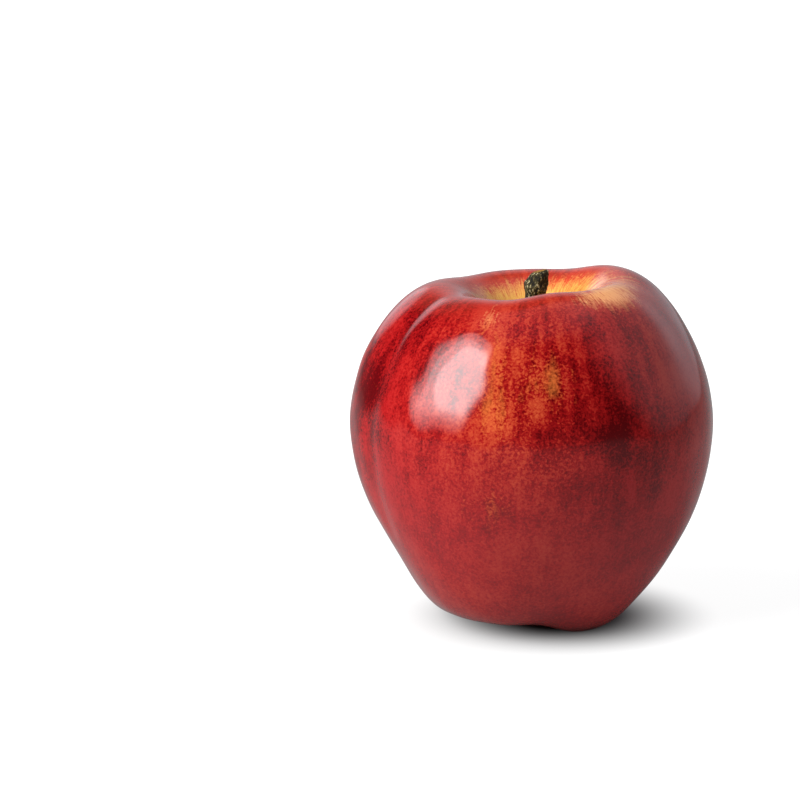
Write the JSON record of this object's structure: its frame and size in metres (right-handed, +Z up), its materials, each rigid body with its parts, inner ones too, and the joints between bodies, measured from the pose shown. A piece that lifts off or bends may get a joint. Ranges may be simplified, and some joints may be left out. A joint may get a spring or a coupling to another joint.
{
  "type": "apple",
  "caption": "Whole red dessert apple with a short thick stem in its cavity and a dried calyx underneath, standing on its feet",
  "frame": {"origin": "middle of the base, on the surface that the apple stands on", "axes": "+Z up along the core towards the stem, -Y towards the front, where the low front left lobe and the resting front right lobe meet, +X to the right"},
  "size_m": [0.0762, 0.0762, 0.0738],
  "materials": {
    "waxed_apple_skin": "thin waxed fruit skin, red blush in streaks and fine mottle over an orange-yellow ground, glossy",
    "woody_stem": "dry olive-brown bark, rough and lumpy, paler at the scar on top",
    "dried_sepal": "dried brown leaf with grey down, matte",
    "dried_stamens": "shrivelled dark brown threads, matte"
  },
  "bodies": {
    "root": {"fruit": "waxed_apple_skin", "stem": "woody_stem", "sepal_1": "dried_sepal", "sepal_2": "dried_sepal", "sepal_3": "dried_sepal", "sepal_4": "dried_sepal", "sepal_5": "dried_sepal", "stamens": "dried_stamens"}
  },
  "joints": []
}
